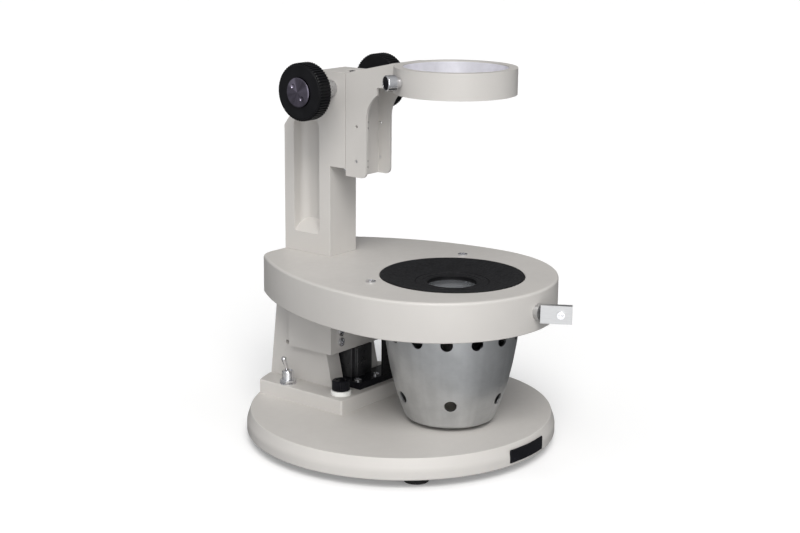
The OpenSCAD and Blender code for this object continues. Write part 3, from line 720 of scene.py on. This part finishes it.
def stage_outline(count):
    """Plan of the stage as radius over angle about the optical axis.

    A circle in front, two long arcs along the sides, and a straight back with round corners.
    """
    circle_y = disc_y - STAGE_CENTRE_BACK
    r = stage_high[0]
    side_r, corner = STAGE_SIDE_R, STAGE_CORNER_R
    back = stage_high[1]
    shift = side_r - r
    cy = back - corner
    cx = np.sqrt((side_r - corner) ** 2 - (cy - circle_y) ** 2) - shift
    a_end = atan2(cy - circle_y, cx + shift)
    front = np.linspace(-pi / 2, 0, 400, endpoint=False)
    side = np.linspace(0, a_end, 300, endpoint=False)
    turn = np.linspace(a_end, pi / 2, 300)
    x = np.concatenate([r * np.cos(front), side_r * np.cos(side) - shift, cx + corner * np.cos(turn),
                        np.linspace(cx, 0, 100)[1:]])
    y = np.concatenate([circle_y + r * np.sin(front), circle_y + side_r * np.sin(side),
                        cy + corner * np.sin(turn), np.full(99, back)])
    x = np.concatenate([x, -x[-2:0:-1]])
    y = np.concatenate([y, y[-2:0:-1]])
    angle = np.unwrap(np.arctan2(y - optic_y, x))
    radius = np.hypot(x, y - optic_y)
    wanted = -pi / 2 + np.arange(count) / count * TAU
    wide = np.interp(wanted, angle, radius, period=TAU)
    return np.stack([wide * np.cos(wanted), optic_y + wide * np.sin(wanted)], -1), wanted


def stage_pieces():
    """Stage casting: rings from the insert's seat out to the rim, down the skirt, back inside."""
    count = 900
    outline, angle = stage_outline(count)
    along = np.roll(outline, -1, 0) - np.roll(outline, 1, 0)
    normal = np.stack([along[:, 1], -along[:, 0]], -1)
    normal /= np.linalg.norm(normal, axis=1, keepdims=True)
    seat = (insert_high[0] - insert_low[0]) / 2 + 0.3
    top, low = stage_high[2], stage_low[2]
    under = top - STAGE_TOP_THICK
    edge = 2.2
    lip = 0.8
    wall = STAGE_WALL
    t = np.linspace(0, pi / 2, 8)
    rim = [(edge * (1 - sin(a)), top - edge * (1 - cos(a))) for a in t]
    foot = [(lip * (1 - cos(a)), low + lip * (1 - sin(a))) for a in t]
    path = rim + foot + [(wall - lip, low), (wall, low + lip), (wall, under - 2), (wall + 2, under)]
    circle = np.stack([np.cos(angle), np.sin(angle)], -1)
    centre = np.array([0, optic_y])
    rings = []
    for radius, z in ((seat, under), (seat, top - 0.5), (seat + 0.5, top)):
        rings.append(np.column_stack([centre + circle * radius, np.full(count, z)]))
    first = outline - normal * path[0][0]
    hole = centre + circle * (seat + 0.5)
    for share in (0.3, 0.6, 0.9):
        rings.append(np.column_stack([hole * (1 - share) + first * share, np.full(count, top)]))
    for inset, z in path:
        rings.append(np.column_stack([outline - normal * inset, np.full(count, z)]))
    rings.append(rings[0])
    build("stage_casting", [(np.concatenate(rings), grid_faces(len(rings), count))],
          "stage", paint, ("stage_plate",), 32)

    z = insert_high[2] - 0.4
    r = (insert_high[0] - insert_low[0]) / 2
    dish = rounded(
        [(r, z - 2.4), (r, z + 0.35), (r - 2.2, z + 0.35), (30.8, z - 5.1), (30.2, z - 5.1),
         (30.2, z - 6.8), (20.6, z - 6.8), (20.6, z - 9.4), (31.4, z - 9.4), (53.4, z - 4.6),
         (53.4, z - 2.4), (r, z - 2.4)],
        [0, 0.6, 2.0, 0.4, 0.4, 0.3, 0.2, 0, 0, 0, 0, 0], 7)
    build("dish", [turned(dish, (0, optic_y, 0), segments=192)], "stage",
          black_matte, ("stage_insert",), 30)
    low, high = corners("glass_retainer")
    ring = rounded(
        [(20, low[2]), (30, low[2]), (30, high[2]), (25, high[2]), (24.2, high[2] - 0.5),
         (21.5, high[2]), (20, high[2] - 0.9), (20, low[2])],
        [0, 0, 0.4, 0.3, 0.3, 0.5, 0.3, 0], 6)
    build("retaining_ring", [turned(ring, (0, optic_y, 0), segments=160)], "stage",
          black_matte, ("glass_retainer",), 30)

    places = [(s * STAGE_SCREW_X, disc_y - STAGE_SCREW_FRONT) for s in (-1, 1)]
    heads = []
    for i, (x, y) in enumerate(places):
        heads.append(screw_head(8.4, 1.9, (x, y, top), (0, 0, 1), 0.4 + i))
        heads.append(turned([(0, top - 7), (2, top - 7), (2, top), (0, top)], (x, y, 0), segments=24))
    build("stage_screw_heads", heads, "stage", chrome, ("stage_screws",), 30)


# ---------- lamp bowl ----------


def bowl_piece():
    """Spun bowl: a smooth curve through its measured radii, with its air holes cut out."""
    heights = np.array([28.5, 30.0, 33.0, 45.0, 63.0, 93.0, 116.0, bowl_high[2] - 1.6])
    radii = np.array([32.0, 35.4, 38.2, 42.6, 48.2, 53.6, 56.6, 58.6])
    z = np.linspace(34, bowl_high[2] - 1.6, 44)
    curve = np.polyfit(heights[2:], radii[2:], 4)
    r = np.polyval(curve, z)
    foot_r = 5.0
    base = bowl_low[2]
    outer = rounded([(0, base), (r[0] - 1.6, base), (r[0], z[0])], [0, foot_r, 0], 10)[:-1]
    outer = np.concatenate([outer, np.stack([r, z], -1)])
    thick = 1.4
    flange_r = 66.0
    flange = [(flange_r, bowl_high[2] - 1.6), (flange_r, bowl_high[2]), (r[-1] - thick, bowl_high[2])]
    inner = outer[::-1].copy()
    inner[:, 0] = np.maximum(inner[:, 0] - thick, 0)
    inner[:, 1] = np.maximum(inner[:, 1], base + thick)
    inner[0, 1] = bowl_high[2] - 2
    profile = np.concatenate([outer, flange, inner])
    shell = turned(profile, (0, optic_y, 0), segments=224)
    bowl = build("bowl", [shell], "stage", spun, ("lamp_bowl",), 30)
    cutters = []
    holes = []
    for count, first, height, lean in (UPPER_HOLES, LOWER_HOLES):
        holes += [(first + i * 360 / count, height, lean) for i in range(count)]
    for turn, height, lean in holes:
        a = radians(turn)
        out = np.array([cos(a) * cos(radians(lean)), sin(a) * cos(radians(lean)), -sin(radians(lean))])
        middle_r = np.interp(height, z, r)
        start = np.array([cos(a) * middle_r, optic_y + sin(a) * middle_r, height]) - out * 7
        cutters.append(turned([(0, 0), (HOLE_R, 0), (HOLE_R, 14), (0, 14)], start, out, 40))
    drill = build("air_holes", cutters, "stage", spun, (), 30)
    cut_out(bowl, drill)


def cut_out(piece, cutter):
    """Subtracts the cutter, keeps the result as the piece's own mesh and removes the cutter."""
    hole = piece.modifiers.new("holes", "BOOLEAN")
    hole.operation = "DIFFERENCE"
    hole.solver = "EXACT"
    hole.object = cutter
    view = bpy.context.evaluated_depsgraph_get()
    mesh = bpy.data.meshes.new_from_object(piece.evaluated_get(view))
    piece.modifiers.clear()
    piece.data = mesh
    mesh.polygons.foreach_set("use_smooth", np.ones(len(mesh.polygons), bool))
    mesh.set_sharp_from_angle(angle=radians(40))
    bpy.data.objects.remove(cutter)


# ---------- focus drive ----------


def knob_pieces():
    """Knobs turned from a rounded profile with ribs round the side, and their turned caps."""
    r = (knob_high[2] - knob_low[2]) / 2
    thick = knob_high[0] - knob_low[0]
    rib_end = thick - 1.8
    profile = rounded(
        [(4.6, 0), (r - 1.6, 0), (r, 1.2), (r, rib_end), (r - 0.9, thick - 0.7),
         (r - 1.5, thick - 0.7), (r - 1.7, thick), (12.2, thick), (12.2, thick - 1.5),
         (0, thick - 1.5)],
        [0, 0.5, 1.0, 0.6, 0.25, 0.2, 0.4, 0.3, 0, 0], 6)
    rib_rows = np.linspace(1.2, rib_end, 6)
    top = np.argmax(profile[:, 1] > rib_end - 0.1)
    bottom = np.argmax(profile[:, 1] > 1.3)
    profile = np.concatenate([profile[:bottom],
                              np.stack([np.full(6, r), rib_rows], -1), profile[top:]])
    ribs = 60

    def ripple(turn, radius, height):
        """Flat-topped ribs: a clipped cosine, only on the outermost band."""
        band = np.clip((radius - (r - 0.9)) / 0.5, 0, 1)
        groove = np.clip(0.5 + 1.6 * np.cos(turn * ribs), 0, 1)
        return -1.0 * band * groove

    for side, name in ((-1, "left"), (1, "right")):
        body = turned(profile, (side * knob_low[0], shaft_at[1], shaft_at[2]), (side, 0, 0), 960, ripple)
        build(name + "_focus_knob", [body], "focus_drive", black_knob,
              (name + "_knob",), 34)
    build("turned_caps", [cap_disc(-1), cap_disc(1)], "focus_drive",
          cap_metal, ("knob_caps",), 24)


def cap_disc(side):
    """Turned cap: flat face with a narrow bright bevel and two round dimples on a slant."""
    radius_out, bevel, thick = 12.05, 0.8, 1.9
    rows, segments = 40, 160
    radius = np.linspace(1, 0, rows)[:, None] * radius_out
    turn = np.arange(segments)[None, :] / segments * TAU
    x, y = radius * np.cos(turn), radius * np.sin(turn)
    top = np.where(radius > radius_out - bevel, thick - (radius - radius_out + bevel) * 0.75, thick)
    top = top + 0 * turn
    for sign in (-1, 1):
        away = np.hypot(x - sign * 4.7, y + sign * 4.7 * side)
        top = top - 1.1 * np.sqrt(np.clip(1 - (away / 1.9) ** 2, 0, 1))
    cap = np.stack([x, y, top], -1).reshape(-1, 3)
    wall = np.stack([x[0], y[0], 0 * x[0] - 1.4], -1)
    lip = np.stack([0 * x[0], 0 * y[0], 0 * x[0] - 1.4], -1)
    local = np.concatenate([lip, wall, cap])
    at = (side * (knob_high[0] + 0.1), shaft_at[1], shaft_at[2])
    outward = side * local[:, 2]
    points = np.stack([at[0] + outward, at[1] + local[:, 0], at[2] + local[:, 1]], -1)
    return points, grid_faces(rows + 2, segments)


# ---------- other pieces ----------


def clamp_piece():
    """Thumbscrew turned from a rounded profile, with a black quarter-circle dome on its end: a painted
    reflection of the dark that the chrome end mirrors.
    """
    a = radians(CLAMP_TURN)
    out = np.array([cos(a), sin(a), 0])
    at = np.array([0, optic_y, ring_top - ring_h / 2])
    profile = rounded(
        [(0, 44.4), (2.9, 44.4), (2.9, 49.3), (4.4, 49.3), (4.4, 52.3), (5.6, 52.6), (6.2, 53.4),
         (6.2, 60.6), (5.6, 61.4), (5.2, 61.4), (5.0, 60.6), (0, 60.6)],
        [0, 0, 0, 0.2, 0, 0.4, 0.4, 0.5, 0.2, 0.2, 0, 0], 5)
    build("clamp_thumbscrew", [turned(profile, at, out, 96)], "clamp", chrome,
          ("clamp_screw",), 30)
    # The black dome is a painted reflection: it stands in for the dark mirrored in the chrome end.
    t = np.linspace(0, pi / 2, 10)
    dome = np.stack([4.9 * np.cos(t), 60.9 + 1.3 * np.sin(t)], -1)
    dome[-1, 0] = 0
    painted_reflection_dome = np.concatenate([[(0, 60.4), (4.9, 60.4)], dome])
    build("clamp_end_painted_reflection", [turned(painted_reflection_dome, at, out, 96)], "clamp", black_gloss,
          (), 30)


def switch_pieces():
    """Threaded bush, hexagonal nut on a toothed washer, and a bat lever turned from a curve."""
    at = np.array([*middle("switch_nut")[:2], 0])
    z = ped_high[2]
    bush = rounded(
        [(0, z - 3), (5.2, z - 3), (5.2, z + 10.6), (4.6, z + 11.5), (3.7, z + 11.5),
         (2.6, z + 9.0), (0, z + 9.0)],
        [0, 0, 0.2, 0.2, 0.2, 0.3, 0], 5)
    teeth = 18

    def thread(turn, radius, height):
        """Fine thread: radius falls in a small saw shape with height and turn."""
        band = np.clip((radius - 4.9) * 6, 0, 1)
        return -0.18 * band * (0.5 + 0.5 * np.cos(TAU * height / 0.9 - turn))

    path = [bush[0]]
    for a, b in zip(bush[:-1], bush[1:]):
        steps = max(1, int(abs(b[1] - a[1]) / 0.22))
        path += [a + (b - a) * (i + 1) / steps for i in range(steps)]
    body_low = corners("switch_body")[0][2]
    build("switch_bush", [turned(path, at, segments=64, ripple=thread),
                          block((at[0] - 3.2, at[1] - 6.5, body_low), (at[0] + 4.8, at[1] + 6.5, z - 3.02))],
          "base", chrome, ("switch_body",), 40)
    turn = np.arange(6) / 6 * TAU + 0.5
    hexagon = np.stack([at[0] + 7.2 * np.cos(turn), at[1] + 7.2 * np.sin(turn)], -1)
    hexagon = rounded(hexagon, [0.5] * 6, 4)
    nut = slab(hexagon, edge_levels(z + 1.0, z + 4.0, 0.3, 0.5, 4))
    angle = np.arange(teeth * 8) / (teeth * 8) * TAU
    star = 7.3 - 0.35 * (0.5 + 0.5 * np.sign(np.cos(angle * teeth)))
    washer = slab(np.stack([at[0] + star * np.cos(angle), at[1] + star * np.sin(angle)], -1),
                  [(z + 0.02, 0), (z + 0.95, 0)])
    build("switch_hex_nut", [nut, washer], "base", chrome, ("switch_nut",), 30)
    pivot = np.array([at[0], at[1], z + 9.4])
    lean = radians(-20)
    axis = (sin(lean), 0, cos(lean))
    t = np.linspace(0, 1, 26)
    shank = np.stack([1.6 + 0.7 * t**1.6, 2.5 + 11.7 * t], -1)
    a = np.linspace(0, pi / 2, 10)
    tip = np.stack([2.3 * np.cos(a), 14.2 + 2.3 * np.sin(a)], -1)
    ball = np.stack([2.8 * np.cos(np.linspace(-pi / 2, 1.05, 14)),
                     2.8 * np.sin(np.linspace(-pi / 2, 1.05, 14))], -1)
    lever = np.concatenate([ball, shank, tip])
    lever[0, 0] = lever[-1, 0] = 0
    build("bat_lever", [turned(lever, pivot, axis, 64)], "toggle", chrome,
          ("switch_lever",), 50)


def fuse_pieces():
    """White collar and a fluted cap, both turned from rounded profiles."""
    at = (*middle("fuse_ring")[:2], 0)
    z = ped_high[2]
    collar = rounded([(4.8, z), (8.7, z), (8.7, z + 3.8), (4.8, z + 3.8), (4.8, z)],
                     [0, 0.3, 0.7, 0, 0], 6)
    build("fuse_collar", [turned(collar, at, segments=96)], "base",
          white_plastic, ("fuse_ring",), 35)
    top = corners("fuse_cap")[1][2]
    cap = rounded(
        [(0, z - 8), (4.5, z - 8), (4.5, z + 4.1), (7.6, z + 4.1), (7.6, top - 0.9), (6.6, top),
         (4.2, top), (3.8, top - 0.5), (0, top - 0.2)],
        [0, 0, 0, 0.3, 0.7, 0.5, 0.1, 0.1, 0], 6)
    rows = np.linspace(z + 4.6, top - 1.8, 8)
    upper = np.argmax(cap[:, 1] > top - 1.7)
    lower = np.argmax(cap[:, 1] > z + 4.5)
    cap = np.concatenate([cap[:lower], np.stack([np.full(8, 7.6), rows], -1), cap[upper:]])

    def flute(turn, radius, height):
        """Round flutes all the way round the cap's side."""
        band = np.clip((radius - 7.1) / 0.4, 0, 1) * np.clip((height - z - 4.6) / 0.6, 0, 1)
        return -0.5 * band * np.clip(np.cos(turn * 24), 0, 1)

    build("fuse_knob", [turned(cap, at, segments=384, ripple=flute)], "fuse_holder_cap",
          black_gloss, ("fuse_cap",), 35)


def screws():
    """Cross-headed screws on the bracket, with their shanks, and on the power plate."""
    front = corners("tilt_bracket")[0][1]
    high = corners("stop_screws")[1]
    parts = []
    for s in (-1, 1):
        for i, z in enumerate(STOP_SCREW_Z):
            x = s * STOP_SCREW_X
            parts.append(screw_head(7.4, 2.3, (x, front, z), (0, -1, 0), 0.5 + i + s))
            end = high[1] - front - (1 - i) * 2.3
            shank = [(0, 0), (2, 0), (2, end), (0, end)]
            parts.append(turned(shank, (x, front, z), (0, 1, 0), 24))
    build("stop_screw_heads", parts, "stage", chrome, ("stop_screws",), 30)
    top = corners("power_plate")[1][2]
    parts = []
    for i, (x, y) in enumerate(PLATE_SCREWS):
        parts.append(screw_head(6.4, 2.0, (x, disc_y + y, top), (0, 0, 1), 0.3 + i))
    build("plate_screw_heads", parts, "base", chrome, ("power_screws",), 30)


def transformer_piece():
    """Laminated core: its plan steps back at the front in three vertical planes."""
    low, high = corners("transformer_core")
    (x0, y0), (x1, y1) = low[:2], high[:2]
    plan = [(x0, y1), (x0, y0 + 2.6), (x0 + 4.5, y0 + 2.6), (x0 + 4.5, y0), (x0 + 15, y0),
            (x0 + 15, y0 + 2.0), (x1, y0 + 2.0), (x1, y1)]
    plan = rounded(plan, [0.8] * 8, 4)
    build("laminated_core", [slab(plan, edge_levels(low[2], high[2], 0, 0.6, 4))], "base",
          core_black, ("transformer_core",), 35)


def bore_piece():
    """Bare turned lining on the inner wall of the head ring, open where the clamp's tip passes."""
    low, high = ring_top - ring_h, ring_top
    profile = [(ring_bore - 0.12, low + 0.9), (ring_bore - 0.12, high - 0.9),
               (ring_bore + 0.3, high - 1.0), (ring_bore + 0.3, low + 1.0)]
    profile.append(profile[0])
    lining = build("bore_lining", [turned(profile, (0, optic_y, 0), segments=256)], "arm",
                   ring_bare, (), 30)
    a = radians(CLAMP_TURN)
    hole = turned([(0, 0), (3, 0), (3, 6), (0, 6)],
                  ((ring_bore - 3) * cos(a), optic_y + (ring_bore - 3) * sin(a), ring_top - ring_h / 2),
                  (cos(a), sin(a), 0), 48)
    cut_out(lining, build("clamp_hole", [hole], "arm", ring_bare, (), 30))


def carried_nodes():
    """CAD nodes whose shape is right, each with its finish."""
    finishes = {
        rubber: ["rubber_feet"],
        steel: ["foot_screws", "pedestal_screws", "bottom_cover", "cheek_screws", "tilt_shaft",
                "bracket_screws", "bowl_screws", "column_screws", "focus_shaft", "rack",
                "dovetail_rail"],
        black_matte: ["cord_bush", "fuse_body", "transformer_coil", "rail_screws"],
        bare: ["arm_plugs"],
        mirror: ["reflector"],
        ceramic: ["lamp_socket"],
        bulb_glass: ["lamp_bulb"],
        glass: ["glass_disc"],
        brass: ["focus_pinion", "clamp_tip"],
    }
    for material, names in finishes.items():
        for name in names:
            nodes[name].data.materials.clear()
            nodes[name].data.materials.append(material)


add_camera()
add_studio()
base_pieces()
stage_pieces()
bowl_piece()
knob_pieces()
clamp_piece()
switch_pieces()
fuse_pieces()
screws()
transformer_piece()
bore_piece()
for name, width in (("left_cheek", 0.9), ("right_cheek", 0.9), ("tilt_bracket", 0.9),
                    ("column", 1.0), ("focus_arm", 0.7)):
    softened(name, paint, width)
softened("shaft_caps", black_gloss, 0.2)
softened("power_plate", black_gloss, 0.6)
softened("rectifier_box", black_matte, 0.4)
softened("shaft_sleeves", sleeve_metal, 0.3)
softened("front_boss", bare, 0.5)
softened("front_lug", bare, 0.5)
softened("lug_screw", chrome, 0.2)
carried_nodes()
